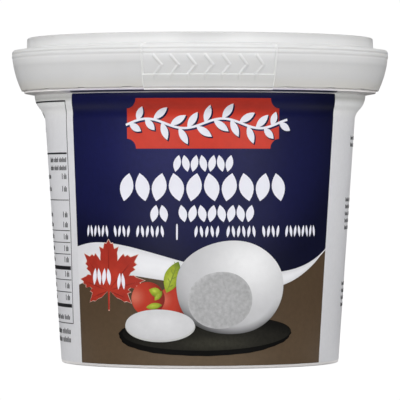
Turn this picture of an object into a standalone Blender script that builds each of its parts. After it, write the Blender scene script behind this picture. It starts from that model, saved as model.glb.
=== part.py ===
"""A filled mozzarella tub: a tapered plastic pot, its push-on lid and the lid's tear-off tab.

Metres, +Z up, the front faces -Y. The origin is the middle of the base, on the surface it stands on.
"""

import bpy
import bmesh
from math import asin, cos, degrees, radians, sin, sqrt

MM = 0.001

# Driving dimensions, in millimetres and degrees.
SEGMENTS = 72            # flats round each turned piece
PLAY = 0.3               # gap between pieces that touch

BASE_RADIUS = 35.0       # outside of the wall, carried down to the base
WALL_TAPER = 3.85        # lean of the wall from upright
WALL_TOP = 61.1          # where the straight wall ends and the shoulder begins
BASE_ROUND = 0.8         # rounding between wall and foot ring
FOOT_WIDTH = 2.4         # flat ring that the tub stands on
BASE_RECESS = 0.9        # depth of the base inside the foot ring

SHOULDER_HOLLOW = 4.2    # radius of the shoulder's lower, hollow arc
SHOULDER_CROWN = 5.0     # radius of its upper, crowned arc
SHOULDER_TURN = 45.0     # lean where the two arcs meet

FLANGE_RADIUS = 44.46    # the rim that stops the lid on its way down
FLANGE_BOTTOM = 67.6     # lower end of its upright edge
FLANGE_TOP = 68.2
FLANGE_ROUND = 0.15
FLANGE_ROOT = 67.15      # where its sloping underside meets the shoulder

NECK_RADIUS = 43.0       # the upright band that the lid's skirt covers
RIM_RADIUS = 45.9        # the bead that the lid is pressed over
RIM_UNDERSIDE = 74.2
RIM_EDGE = 75.2
RIM_TOP = 77.0
RIM_ROUND = 0.6

LID_WALL = 1.0
LID_TOP = 81.7           # height of the whole
LID_RADIUS = 47.58       # widest point of the skirt
SKIRT_CURVE = 25.0       # radius of the skirt's bowed side
SKIRT_CURVE_Z = 79.3     # height of that arc's centre
SKIRT_TOP = 77.85
SKIRT_BOTTOM = 68.5
LEDGE_OUTER = 47.2       # the sloping ledge between skirt and stacking ridge
LEDGE_OUTER_Z = 78.42
LEDGE_INNER = 44.0
LEDGE_INNER_Z = 78.9
EDGE_INSET = 0.12        # the slant between ledge and skirt: how far in and how far down it starts
EDGE_DROP = 0.15
RIDGE_RADIUS = 43.8      # outside of the stacking ridge
RIDGE_ROUND = 0.4
RIDGE_DRAFT = 0.05       # how far the ridge leans in towards its top
RIDGE_FILLET = 0.2       # the slant at the ridge's foot
RIDGE_INNER = 38.2       # inside of the ridge, clear of the base of a tub stacked on top
PANEL_RADIUS = 37.2      # the sunk middle of the lid
PANEL_TOP = 79.0
CATCH_RADIUS = 45.2      # bead inside the skirt, under the tub's rim
CATCH_Z = 73.3
CATCH_SPREAD = 0.7       # half the bead's height

TAB_TURN = 2.7           # the tab's middle, from the front towards +X
TAB_HALF = 20.0          # half the angle that it spans
TAB_INNER = 44.75        # where the tab starts on the ledge
LIP_TOP = 71.5           # the tab's grip, a lip that stands proud of the skirt
LIP_DEPTH = 0.25
LIP_BOTTOM = 67.6        # the lip hangs down in front of the flange's edge
LIP_BEAD = 0.35          # height of the bead along its foot
LIP_OUTER = 45.5         # outside of the bead
LIP_INNER = 44.8         # back of the lip, clear of the flange
CUTTER_STEPS = 10        # flats round each cutter's arc
CUTTER_MARGIN = 3.0      # how far a cutter stands clear of what it cuts

TUB_COLOUR = (0.80, 0.80, 0.82)
LID_COLOUR = (0.72, 0.72, 0.71)
TAB_COLOUR = (0.75, 0.75, 0.74)


def clear_scene():
    """Removes every object of the scene that the script starts in."""
    for thing in list(bpy.data.objects):
        bpy.data.objects.remove(thing)


def collection(name):
    """A new collection in the scene."""
    made = bpy.data.collections.new(name)
    bpy.context.scene.collection.children.link(made)
    return made


def plastic(name, colour, roughness):
    """A moulded plastic of one colour."""
    made = bpy.data.materials.new(name)
    made.use_nodes = True
    shader = made.node_tree.nodes["Principled BSDF"]
    shader.inputs["Base Color"].default_value = (*colour, 1.0)
    shader.inputs["Roughness"].default_value = roughness
    shader.inputs["Metallic"].default_value = 0.0
    return made


def arc(radius_at, height_at, radius, start, end, steps):
    """Points on an arc of a profile, as (radius, height), from one angle to another in degrees."""
    turn = [radians(start + (end - start) * i / steps) for i in range(steps + 1)]
    return [(radius_at + radius * cos(a), height_at + radius * sin(a)) for a in turn]


def skirt_radius(height, inset=0.0):
    """Radius of the skirt's bowed side at a height, or of the surface that lies inset behind it."""
    bow = SKIRT_CURVE - inset
    centre = LID_RADIUS - sqrt(SKIRT_CURVE**2 - (SKIRT_CURVE_Z - SKIRT_TOP) ** 2)
    return centre + sqrt(bow**2 - (SKIRT_CURVE_Z - height) ** 2)


def skirt_side(top, bottom, inset, steps):
    """Points down the skirt's bowed side."""
    heights = [top + (bottom - top) * i / steps for i in range(steps + 1)]
    return [(skirt_radius(height, inset), height) for height in heights]


def ledge_height(radius):
    """Height of the ledge's sloping top at a radius."""
    slope = (LEDGE_OUTER_Z - LEDGE_INNER_Z) / (LEDGE_OUTER - LEDGE_INNER)
    return LEDGE_INNER_Z + slope * (radius - LEDGE_INNER)


def tub_profile():
    """The filled tub's outline from the middle of its top, down its outer side, to the middle of its base."""
    lean = radians(WALL_TAPER)
    turn = radians(SHOULDER_TURN)

    rim = [(0.0, RIM_TOP)]
    rim += arc(RIM_RADIUS - RIM_ROUND, RIM_TOP - RIM_ROUND, RIM_ROUND, 90, 0, 3)
    rim += [(RIM_RADIUS, RIM_EDGE), (NECK_RADIUS, RIM_UNDERSIDE)]

    edge = FLANGE_RADIUS - FLANGE_ROUND
    flange = [(NECK_RADIUS, FLANGE_TOP), (edge, FLANGE_TOP)]
    flange += [(FLANGE_RADIUS, FLANGE_TOP - FLANGE_ROUND), (FLANGE_RADIUS, FLANGE_BOTTOM + FLANGE_ROUND)]
    flange += [(edge, FLANGE_BOTTOM)]

    # Two arcs make the shoulder: they meet leaning outwards by SHOULDER_TURN. The hollow one takes over
    # from the wall at the wall's own lean, and the crowned one stands upright at the shoulder's widest.
    wall_top_radius = BASE_RADIUS + WALL_TOP * sin(lean) / cos(lean)
    hollow_z = WALL_TOP - SHOULDER_HOLLOW * sin(lean)
    hollow_r = wall_top_radius + SHOULDER_HOLLOW * cos(lean)
    join_r = hollow_r - SHOULDER_HOLLOW * cos(turn)
    join_z = hollow_z + SHOULDER_HOLLOW * sin(turn)
    crown_r = join_r - SHOULDER_CROWN * cos(turn)
    crown_z = join_z + SHOULDER_CROWN * sin(turn)
    root = degrees(asin((crown_z - FLANGE_ROOT) / SHOULDER_CROWN))
    shoulder = arc(crown_r, crown_z, SHOULDER_CROWN, -root, -SHOULDER_TURN, 5)
    shoulder += arc(hollow_r, hollow_z, SHOULDER_HOLLOW, 180 - SHOULDER_TURN, 180 - WALL_TAPER, 5)[1:]

    # The base's rounding is tangent to the leaning wall and to the flat foot ring.
    round_r = BASE_RADIUS - BASE_ROUND * (1 / cos(lean) - sin(lean) / cos(lean))
    base = arc(round_r, BASE_ROUND, BASE_ROUND, -WALL_TAPER, -90, 4)
    foot_inner = round_r - FOOT_WIDTH
    base += [(foot_inner, 0.0), (foot_inner - BASE_RECESS, BASE_RECESS), (0.0, BASE_RECESS)]
    return rim + flange + shoulder + base


def lid_profile():
    """The lid's outline: over its top and down the skirt, then back up inside to the middle."""
    ridge_edge = RIDGE_RADIUS - RIDGE_ROUND
    top = [(0.0, PANEL_TOP), (PANEL_RADIUS, PANEL_TOP)]
    top += [(RIDGE_INNER, LID_TOP - RIDGE_ROUND), (RIDGE_INNER + RIDGE_ROUND, LID_TOP)]
    top += arc(ridge_edge - RIDGE_DRAFT, LID_TOP - RIDGE_ROUND, RIDGE_ROUND, 90, 0, 3)
    top += [(RIDGE_RADIUS, LEDGE_INNER_Z + RIDGE_FILLET), (LEDGE_INNER, LEDGE_INNER_Z)]
    top += [(LEDGE_OUTER, LEDGE_OUTER_Z), (LID_RADIUS - EDGE_INSET, LEDGE_OUTER_Z - EDGE_DROP)]
    skirt = skirt_side(SKIRT_TOP, SKIRT_BOTTOM, 0.0, 6)

    inside = skirt_side(SKIRT_BOTTOM, CATCH_Z - CATCH_SPREAD, LID_WALL, 2)
    inside += [(CATCH_RADIUS, CATCH_Z)]
    inside += skirt_side(CATCH_Z + CATCH_SPREAD, SKIRT_TOP - LID_WALL, LID_WALL, 2)
    inner_ridge = RIDGE_RADIUS - LID_WALL
    inside += [(LEDGE_OUTER - LID_WALL, ledge_height(LEDGE_OUTER - LID_WALL) - LID_WALL)]
    inside += [(inner_ridge, LEDGE_INNER_Z - LID_WALL), (inner_ridge, LID_TOP - LID_WALL)]
    inside += [(RIDGE_INNER + LID_WALL, LID_TOP - LID_WALL), (PANEL_RADIUS + LID_WALL, PANEL_TOP - LID_WALL)]
    inside += [(0.0, PANEL_TOP - LID_WALL)]
    return top + skirt + inside


def tab_section():
    """The tear-off tab's closed cross-section: a piece of the ledge, the skirt below it and the grip lip, whose
    foot hangs in front of the tub's flange."""
    outside = [(TAB_INNER, ledge_height(TAB_INNER)), (LEDGE_OUTER, LEDGE_OUTER_Z)]
    outside += [(LID_RADIUS - EDGE_INSET, LEDGE_OUTER_Z - EDGE_DROP)]
    outside += skirt_side(SKIRT_TOP, LIP_TOP, 0.0, 4)
    outside += [(skirt_radius(LIP_TOP) + LIP_DEPTH, LIP_TOP - LIP_DEPTH / 2)]
    outside += [(skirt_radius(SKIRT_BOTTOM) + LIP_DEPTH, SKIRT_BOTTOM)]
    outside += [(LIP_OUTER, LIP_BOTTOM + LIP_BEAD), (LIP_OUTER, LIP_BOTTOM)]
    inside = [(LIP_INNER, LIP_BOTTOM), (LIP_INNER, SKIRT_BOTTOM)]
    inside += skirt_side(SKIRT_BOTTOM, SKIRT_TOP - LID_WALL, LID_WALL, 4)
    inside += [(LEDGE_OUTER - LID_WALL, ledge_height(LEDGE_OUTER - LID_WALL) - LID_WALL)]
    inside += [(TAB_INNER, ledge_height(TAB_INNER) - LID_WALL)]
    return outside + inside


def turned(name, profile, closed, material, home):
    """A piece turned about the Z axis from its profile; a closed profile makes a ring."""
    mesh = bpy.data.meshes.new(name)
    corners = [(radius * MM, 0.0, height * MM) for radius, height in profile]
    edges = [(i, i + 1) for i in range(len(corners) - 1)]
    if closed:
        edges.append((len(corners) - 1, 0))
    mesh.from_pydata(corners, edges, [])
    piece = bpy.data.objects.new(name, mesh)
    home.objects.link(piece)
    mesh.materials.append(material)
    screw = piece.modifiers.new("turn", "SCREW")
    screw.axis = "Z"
    screw.steps = SEGMENTS
    screw.render_steps = SEGMENTS
    screw.use_merge_vertices = True
    screw.merge_threshold = 0.00001
    screw.use_smooth_shade = True
    return piece


def tab_sector(name, inner, half_angle, home):
    """A cutter round the tab: a wedge of a thick ring, wider than the skirt is deep and taller than it."""
    outer = LID_RADIUS + CUTTER_MARGIN
    low = LIP_BOTTOM - CUTTER_MARGIN
    high = (LEDGE_INNER_Z + LID_TOP) / 2
    step = 2 * half_angle / CUTTER_STEPS
    turns = [radians(TAB_TURN - half_angle + step * i) for i in range(CUTTER_STEPS + 1)]
    outline = [(outer * sin(a), -outer * cos(a)) for a in turns]
    outline += [(inner * sin(a), -inner * cos(a)) for a in reversed(turns)]

    shape = bmesh.new()
    floor = shape.faces.new([shape.verts.new((x * MM, y * MM, low * MM)) for x, y in outline])
    raised = bmesh.ops.extrude_face_region(shape, geom=[floor])
    risen = [part for part in raised["geom"] if isinstance(part, bmesh.types.BMVert)]
    bmesh.ops.translate(shape, verts=risen, vec=(0.0, 0.0, (high - low) * MM))
    bmesh.ops.recalc_face_normals(shape, faces=shape.faces)
    mesh = bpy.data.meshes.new(name)
    shape.to_mesh(mesh)
    shape.free()

    cutter = bpy.data.objects.new(name, mesh)
    home.objects.link(cutter)
    cutter.hide_render = True
    cutter.display_type = "WIRE"
    return cutter


def cut(piece, cutter, operation):
    """Cuts a piece with a cutter, or keeps only what lies inside it."""
    boolean = piece.modifiers.new(operation.lower(), "BOOLEAN")
    boolean.operation = operation
    boolean.solver = "EXACT"
    boolean.object = cutter


def build():
    """Makes the tub, its lid and the lid's tab."""
    clear_scene()
    parts = collection("mozzarella_tub")
    cutters = collection("cutters")

    turned("tub", tub_profile(), False, plastic("tub_plastic", TUB_COLOUR, 0.35), parts)
    lid = turned("lid", lid_profile(), False, plastic("lid_plastic", LID_COLOUR, 0.3), parts)
    tab = turned("tear_tab", tab_section(), True, plastic("tab_plastic", TAB_COLOUR, 0.3), parts)

    # The tab sits in its opening with the same play along the ledge and at both seams.
    play_angle = degrees(PLAY / LID_RADIUS)
    opening = tab_sector("tab_opening", TAB_INNER - PLAY, TAB_HALF + play_angle, cutters)
    outline = tab_sector("tab_outline", TAB_INNER - PLAY / 2, TAB_HALF, cutters)
    cut(lid, opening, "DIFFERENCE")
    cut(tab, outline, "INTERSECT")


build()
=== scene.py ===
"""Looks of a shut mozzarella tub: a printed white pot under a milky lid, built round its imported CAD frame.

Lengths below are millimetres until a mesh is made, and metres on the stage. The front faces -Y and +X is
to its right.
"""

from math import atan2, cos, pi, radians, sin, sqrt, tan

import bmesh
import bpy
import numpy as np
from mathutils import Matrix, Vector


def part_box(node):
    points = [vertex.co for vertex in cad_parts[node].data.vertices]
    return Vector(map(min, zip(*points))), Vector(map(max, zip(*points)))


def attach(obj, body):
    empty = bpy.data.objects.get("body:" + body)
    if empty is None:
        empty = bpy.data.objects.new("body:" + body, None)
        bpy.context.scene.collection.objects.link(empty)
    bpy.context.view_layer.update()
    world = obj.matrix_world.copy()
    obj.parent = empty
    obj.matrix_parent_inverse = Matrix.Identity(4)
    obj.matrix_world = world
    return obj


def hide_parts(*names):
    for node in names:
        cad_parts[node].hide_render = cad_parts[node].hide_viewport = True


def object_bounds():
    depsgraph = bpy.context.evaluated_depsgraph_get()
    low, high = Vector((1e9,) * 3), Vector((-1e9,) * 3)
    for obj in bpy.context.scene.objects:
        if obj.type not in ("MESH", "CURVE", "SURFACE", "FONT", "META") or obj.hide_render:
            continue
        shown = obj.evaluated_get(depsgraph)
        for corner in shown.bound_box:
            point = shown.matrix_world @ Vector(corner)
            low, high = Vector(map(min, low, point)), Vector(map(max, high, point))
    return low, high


MM = 0.001
WELD = 1e-7              # metres within which points are taken as one
CRISP = radians(40)      # edges that turn by more than this stay crisp
ROUND_STEPS = 5          # steps along each rounding of a profile
TURN_STEPS = 288         # steps round the tub and its film
LID_STEPS = 360

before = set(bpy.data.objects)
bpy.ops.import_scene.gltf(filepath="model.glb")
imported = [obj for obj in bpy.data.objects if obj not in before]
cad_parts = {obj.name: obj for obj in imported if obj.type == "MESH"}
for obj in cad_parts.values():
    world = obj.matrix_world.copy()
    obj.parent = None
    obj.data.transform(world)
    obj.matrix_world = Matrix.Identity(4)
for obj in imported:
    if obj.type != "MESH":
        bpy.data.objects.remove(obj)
cad_low, cad_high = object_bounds()
tub_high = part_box("tub")[1]

# ---------------------------------------------------------------- sizes

LID_TOP = cad_high.z / MM
LID_RADIUS = cad_high.x / MM
RIM_RADIUS = tub_high.x / MM
RIM_TOP = tub_high.z / MM

BASE_RADIUS = 35.0       # outside of the wall, carried down to the base
TAPER = radians(3.85)    # lean of the wall from upright
WALL_TOP = 61.1          # where the straight wall ends and the shoulder begins
HOLLOW = 4.2             # radius of the shoulder's lower, hollow arc
CROWN = 5.0              # radius of its upper, crowned arc
MEET = radians(45)       # lean where the two arcs meet
FLANGE_RADIUS = 44.46
FLANGE_BOTTOM = 67.8
FLANGE_TOP = 68.39       # just clear of the skirt
FLANGE_ROOT = 67.31      # where the flange's sloping underside meets the shoulder
NECK_RADIUS = 43.0
NECK_TOP = 74.2
RIM_BOTTOM = 75.2
FOOT_INNER = 31.85       # inside of the foot ring
BASE_RECESS = 0.9
GATE_RADIUS = 1.6        # nub under the base where the plastic was let into the mould
GATE_DROP = 0.3

LID_WALL = 1.0
SKIRT_CURVE = 25.0       # radius of the skirt's bowed side
SKIRT_CURVE_Z = 79.3     # height of that arc's centre
SKIRT_TOP = 77.85
SKIRT_BOTTOM = 68.4
SIDE_TOP = 75.7          # where the bowed side begins, under the skirt's edge
LEDGE_OUTER = 47.2
LEDGE_OUTER_Z = 78.52
LEDGE_INNER = 43.8
LEDGE_INNER_Z = 79.0
RIDGE_RADIUS = 43.8
RIDGE_INNER = 38.2
PANEL_RADIUS = 37.2
PANEL_TOP = 79.0
PANEL_RAISE = 0.25       # height of the panel's gate mark and of the band round it
BAND_INNER = 33.0
BAND_OUTER = 34.6

TAB_TURN = radians(2.7)  # the tab's middle, from the front towards +X
TAB_HALF = radians(20.0)
TAB_INNER = 44.75
TAB_COLUMNS = 230
LIP_TOP = 71.5           # the grip lip along the tab's foot
LIP_DEPTH = 0.25
LIP_BOTTOM = 67.66
LIP_OUTER = 45.5
LIP_INNER = 44.8
LID_FOOT = 67.6          # lowest point of the lid and the tab, for their tones
SEAM = 0.004             # width of the seams on either side of the tab
SIDE_ROUND = 0.04        # rounding of the tab's side edges
RIB_WIDTH = 0.6
RIB_HEIGHT = 0.13
RIB_SUNK = 0.15          # how far a rib goes on under the lid's surface
CHEVRONS = 7
CHEVRON_STEP = 4.2
CHEVRON_Z = 73.6
CHEVRON_HALF = (0.9, 2.2)
STROKE_WIDTH = 0.32
STROKE_HEIGHT = 0.18
STROKE_SHOULDER = 0.25
NOTCHES = 19             # nicks in the skirt's foot that let the tub's air out
NOTCH_FIRST = radians(25.6)
NOTCH_WIDTH = 2.9
NOTCH_TOP = 68.53

FILM = 0.04              # how far the film stands off the wall
INK = 0.05               # thickness of each printed sheet
LAYER = 0.03             # step from one printed layer to the next
FILM_BOTTOM = 0.75
FILM_TOP = 67.27
PANEL_SIDE = 31.5        # how far out to the side the flange's painted shade over the dark print reaches

# ---------------------------------------------------------------- meshes


def rounded(corners):
    """A profile through corners (radius, height, rounding). Each rounding is the arc of that radius that
    touches both sides of its corner, and a rounding of 0 leaves the corner as it is."""
    corners = np.array(corners, float)
    points = [corners[:1, :2]]
    for before, here, after in zip(corners[:-2], corners[1:-1], corners[2:]):
        spot, bend = here[:2], here[2]
        if bend == 0:
            points.append(spot[None])
            continue
        back = before[:2] - spot
        back /= np.hypot(*back)
        ahead = after[:2] - spot
        ahead /= np.hypot(*ahead)
        half = np.arccos(np.clip(back @ ahead, -1, 1)) / 2
        inward = (back + ahead) / np.hypot(*(back + ahead))
        centre = spot + inward * bend / sin(half)
        start = spot + back * bend / tan(half) - centre
        end = spot + ahead * bend / tan(half) - centre
        first = atan2(start[1], start[0])
        turn = (atan2(end[1], end[0]) - first + pi) % (2 * pi) - pi
        angles = first + turn * np.linspace(0, 1, ROUND_STEPS + 1)
        points.append(centre + bend * np.stack([np.cos(angles), np.sin(angles)], -1))
    points.append(corners[-1:, :2])
    return np.concatenate(points)


def grid_faces(rows, columns, close_rows=False, close_columns=False):
    """Quads between neighbouring points of a grid of points, numbered row by row. Rows run round the tub
    towards +X and columns run down its outside, so that every quad faces out."""
    i = np.arange(rows - (not close_rows))[:, None]
    j = np.arange(columns - (not close_columns))[None, :]
    i2, j2 = (i + 1) % rows, (j + 1) % columns
    corners = (i * columns + j, i * columns + j2, i2 * columns + j2, i2 * columns + j)
    return np.stack(np.broadcast_arrays(*corners), -1).reshape(-1, 4)


def round_axis(radius, height, angle):
    """Points at a radius and a height, turned round the Z axis by an angle from the front towards +X."""
    return np.stack([radius * np.sin(angle), -radius * np.cos(angle), height + 0 * angle], -1)


def into_scene(data):
    """An object of a mesh, light or camera, linked to the scene under its name."""
    made = bpy.data.objects.new(data.name, data)
    bpy.context.scene.collection.objects.link(made)
    return made


def piece(name, parts, material):
    """One object from parts, each (points, arrays of faces) and, on printed shapes, the points' places on
    their own shape, which go in its Shape map. Points that fall together, as at a pole, are welded."""
    points = np.concatenate([part[0].reshape(-1, 3) for part in parts]) * MM
    faces, first = [], 0
    for part in parts:
        for corners in part[1]:
            faces += (corners + first).tolist()
        first += part[0].reshape(-1, 3).shape[0]
    mesh = bpy.data.meshes.new(name)
    mesh.from_pydata(points.tolist(), [], faces)
    if len(parts[0]) == 3:
        own = np.concatenate([part[2] for part in parts])
        corner = np.empty(len(mesh.loops), int)
        mesh.loops.foreach_get("vertex_index", corner)
        mesh.uv_layers.new(name="Shape").uv.foreach_set("vector", own[corner].ravel().astype(np.float32))
    work = bmesh.new()
    work.from_mesh(mesh)
    bmesh.ops.remove_doubles(work, verts=work.verts, dist=WELD)
    bmesh.ops.dissolve_degenerate(work, edges=work.edges, dist=WELD)
    work.to_mesh(mesh)
    work.free()
    mesh.shade_smooth()
    mesh.set_sharp_from_angle(angle=CRISP)
    mesh.materials.append(material)
    made = into_scene(mesh)
    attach(made, "root")
    return made


def turned(profile, segments):
    """A profile (radius, height) carried round the Z axis: its point j at angle a is
    (radius_j sin a, -radius_j cos a, height_j)."""
    angle = np.linspace(0, 2 * pi, segments, endpoint=False)[:, None]
    points = round_axis(profile[None, :, 0], profile[None, :, 1], angle)
    return points, [grid_faces(segments, len(profile), close_rows=True)]


def outward(line):
    """Unit vectors across a line of points (radius, height), to its left along the way it runs, which is
    outward for an outline that runs down."""
    way = np.gradient(line, axis=0)
    return np.stack([-way[:, 1], way[:, 0]], -1) / np.hypot(*way.T)[:, None]


def swept(sections):
    """A closed section carried along a path: sections is a grid of points, one section to a row, with a
    flat cap at each end."""
    rows, columns = sections.shape[:2]
    cap = np.arange(columns)
    return sections, [grid_faces(rows, columns, close_columns=True), cap[None, ::-1],
                      cap[None] + (rows - 1) * columns]


def sector(section, middle, half, steps):
    """A closed section, (radius, height) in turn round it, carried about the axis from half an angle before
    a middle to half an angle after it."""
    angle = middle + np.linspace(-half, half, steps + 1)[:, None]
    return swept(round_axis(section[None, ::-1, 0], section[None, ::-1, 1], angle))


def thin_sheet(count, faces):
    """Faces of a thin closed sheet whose back repeats the points of its front: the front, the back turned
    over, and a rim along every edge that only one face uses."""
    edges = np.concatenate([np.stack([f, np.roll(f, -1, 1)], -1).reshape(-1, 2) for f in faces])
    lone = ~np.isin(edges @ (count, 1), edges[:, ::-1] @ (count, 1))
    a, b = edges[lone].T
    rim = np.stack([b, a, a + count, b + count], -1)
    return [*faces, *[f[:, ::-1] + count for f in faces], rim]


def cut_away(target, parts):
    """Cuts closed parts out of a piece for good."""
    cutter = piece("cutter", parts, target.data.materials[0])
    tool = target.modifiers.new("cut", "BOOLEAN")
    tool.operation = "DIFFERENCE"
    tool.solver = "EXACT"
    tool.object = cutter
    bpy.context.view_layer.update()
    whole = target.evaluated_get(bpy.context.evaluated_depsgraph_get())
    mesh = bpy.data.meshes.new_from_object(whole)
    target.modifiers.clear()
    target.data = mesh
    bpy.data.objects.remove(cutter)


# ---------------------------------------------------------------- materials

# The lid's, the tab's and the ribs' tones, each a height and a colour: partly the milk's own change with
# what lies behind it, and partly painted light and shade.
LID_TONES = [(LID_FOOT, "#E4E0DA"), (69.2, "#DFDDD9"), (71.2, "#DEDEDE"), (72.4, "#DEDEDE"),
             (73.6, "#DBDBDB"), (74.4, "#D6D6D6"), (75.1, "#E0E0E0"), (76.4, "#E4E4E4"), (77.0, "#DDDDDD"),
             (78.0, "#D9D9D9"), (78.5, "#D3D3D3"), (79.1, "#D9D9D9"), (80.2, "#D6D6D6"),
             (80.8, "#CECECE"), (LID_TOP, "#C8C8C8")]
# The tab's tones paint a shaded line above its lip's bead, and paint the bead itself light.
TAB_TONES = [(LID_FOOT, "#F0EFF1"), (68.02, "#F0EFF1"), (68.1, "#B4B2AF"), (68.35, "#B8B6B3"),
             (68.45, "#EFEEEE"), (68.8, "#E7E5E3"), (70.0, "#DFDFDD"), (72.0, "#DFDFDF"),
             (74.4, "#DDDDDD"), (75.1, "#E1E1E1"), (76.4, "#E7E7E7"), (77.0, "#E2E2E2"), (78.0, "#DEDEDE"),
             (78.5, "#D6D6D6"), (LID_TOP, "#D8D8D8")]
# The ribs' tones are painted light, lightest towards their foot.
RIB_TONES = [(LID_FOOT, "#FFFFFE"), (70.5, "#F8F8F6"), (72.5, "#E4E4E2"), (76.0, "#E4E4E4"),
             (LID_TOP, "#E2E2E2")]
# Share of its own colour that the flange keeps over the dark print, by the share of its height: painted
# shade and a painted blue reflection of the print make it duller and a little blue there, and it keeps its
# own colour up against the lid.
FLANGE_SHADE_TONES = [(0, (0.83, 0.83, 0.83, 1)), (0.05, (0.8, 0.795, 0.9, 1)), (0.4, (0.78, 0.775, 0.88, 1)),
              (0.75, (0.82, 0.815, 0.9, 1)), (0.85, (1, 1, 1, 1)), (1, (1, 1, 1, 1))]
POLYPROPYLENE_IOR = 1.49


def srgb(code):
    """A hex colour as seen on a screen, as the linear numbers that shaders take."""
    seen = [int(code[k:k + 2], 16) / 255 for k in (1, 3, 5)]
    return [c / 12.92 if c <= 0.04045 else ((c + 0.055) / 1.055) ** 2.4 for c in seen] + [1.0]


def add(tree, kind, settings=None, **inputs):
    """Adds a shader node with its settings. Each input takes a value, an output that feeds it, or a node
    whose first output does; an input's name has _ for each space, and in0, in1 take one by its number."""
    node = tree.nodes.new("ShaderNode" + kind)
    for key, value in (settings or {}).items():
        setattr(node, key, value)
    for key, value in inputs.items():
        socket = node.inputs[int(key[2:])] if key[2:].isdigit() else node.inputs[key.replace("_", " ")]
        if isinstance(value, bpy.types.Node):
            value = value.outputs[0]
        if isinstance(value, bpy.types.NodeSocket):
            tree.links.new(value, socket)
        else:
            socket.default_value = value
    return node


def set_stops(node, stops):
    """Gives a colour ramp its stops, each a place and a colour, of which the first is at 0 and the last
    at 1."""
    elements = node.color_ramp.elements
    for place, colour in stops[1:-1]:
        elements.new(place).color = colour
    elements[0].color = stops[0][1]
    elements[-1].color = stops[-1][1]


def new_material(name):
    """An empty material with a Principled shader: returns it, its tree and the shader."""
    made = bpy.data.materials.new(name)
    made.use_nodes = True
    return made, made.node_tree, made.node_tree.nodes["Principled BSDF"]


def moulded_skin(tree, shader, where, tint, dimple, depth, roughness):
    """The skin of polypropylene that cooled against a mould, over its tint: a soft gloss with the dimples
    of orange-peel, their size in millimetres, drawn deeper than life so that they show."""
    peel = add(tree, "TexNoise", Vector=where, Scale=1 / (dimple * MM), Detail=2.0)
    bump = add(tree, "Bump", Height=peel, Strength=depth, Distance=0.1 * MM)
    tree.links.new(bump.outputs["Normal"], shader.inputs["Normal"])
    tree.links.new(tint.outputs["Vector"], shader.inputs["Base Color"])
    shader.inputs["Roughness"].default_value = roughness
    shader.inputs["IOR"].default_value = POLYPROPYLENE_IOR


def printed_film(name, ink, lit=None, shade=None, centre=(0.0, 0.0), reach=1.4, mottle=0.05, patch=2.0,
                 hold=0.5, under=0.0, gloss=0.3):
    """Polypropylene film, gravure printed on its back and moulded into the tub's wall: a soft gloss, as
    strong as gloss says, over ink that lies a little uneven, in patches of a size in millimetres. Where lit
    and shade are given, the ink runs from lit at a centre of the shape, whose own places run from -1 to 1,
    through ink at its share hold of the way, to shade at its reach from there, and under is how much of it
    is lost along the foot of the shape's edge. On a printed picture of a round thing that is its printed
    shading; on the wall's plain inks it is painted light and shade."""
    made, tree, shader = new_material(name)
    where = add(tree, "TexCoord").outputs["Object"]
    patches = add(tree, "TexNoise", Vector=where, Scale=1 / (patch * MM), Detail=5.0, Roughness=0.6)
    uneven = add(tree, "MapRange", Value=patches, From_Min=0.25, From_Max=0.75, To_Min=1 - mottle,
                 To_Max=1 + mottle)
    tint = add(tree, "VectorMath", {"operation": "SCALE"}, in0=srgb(ink)[:3], Scale=uneven)
    if lit:
        own = add(tree, "UVMap", {"uv_map": "Shape"})
        away = add(tree, "VectorMath", {"operation": "DISTANCE"}, in0=own, in1=(*centre, 0))
        part = add(tree, "Math", {"operation": "DIVIDE"}, in0=away.outputs["Value"], in1=reach)
        tone = add(tree, "ValToRGB", Fac=part)
        tone.color_ramp.interpolation = "EASE"
        set_stops(tone, [(0, srgb(lit)), (hold, srgb(ink)), (1, srgb(shade))])
        tree.links.new(tone.outputs["Color"], tint.inputs[0])
    if under:
        # The loss grows outwards over the outermost fifth of the shape, in its lower half.
        apart = add(tree, "SeparateXYZ", Vector=own)
        out = add(tree, "VectorMath", {"operation": "LENGTH"}, in0=own)
        rim = add(tree, "MapRange", Value=out.outputs["Value"], From_Min=0.82, From_Max=1.0, To_Min=0.0,
                  To_Max=under)
        foot = add(tree, "MapRange", Value=apart.outputs["Y"], From_Min=-0.25, From_Max=-0.75)
        lost = add(tree, "Math", {"operation": "MULTIPLY"}, in0=rim, in1=foot)
        kept = add(tree, "Math", {"operation": "SUBTRACT"}, in0=1.0, in1=lost)
        both = add(tree, "Math", {"operation": "MULTIPLY"}, in0=uneven, in1=kept)
        tree.links.new(both.outputs["Value"], tint.inputs["Scale"])
    moulded_skin(tree, shader, where, tint, dimple=0.714, depth=0.12, roughness=0.38)
    shader.inputs["Specular IOR Level"].default_value = gloss
    return made


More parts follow.
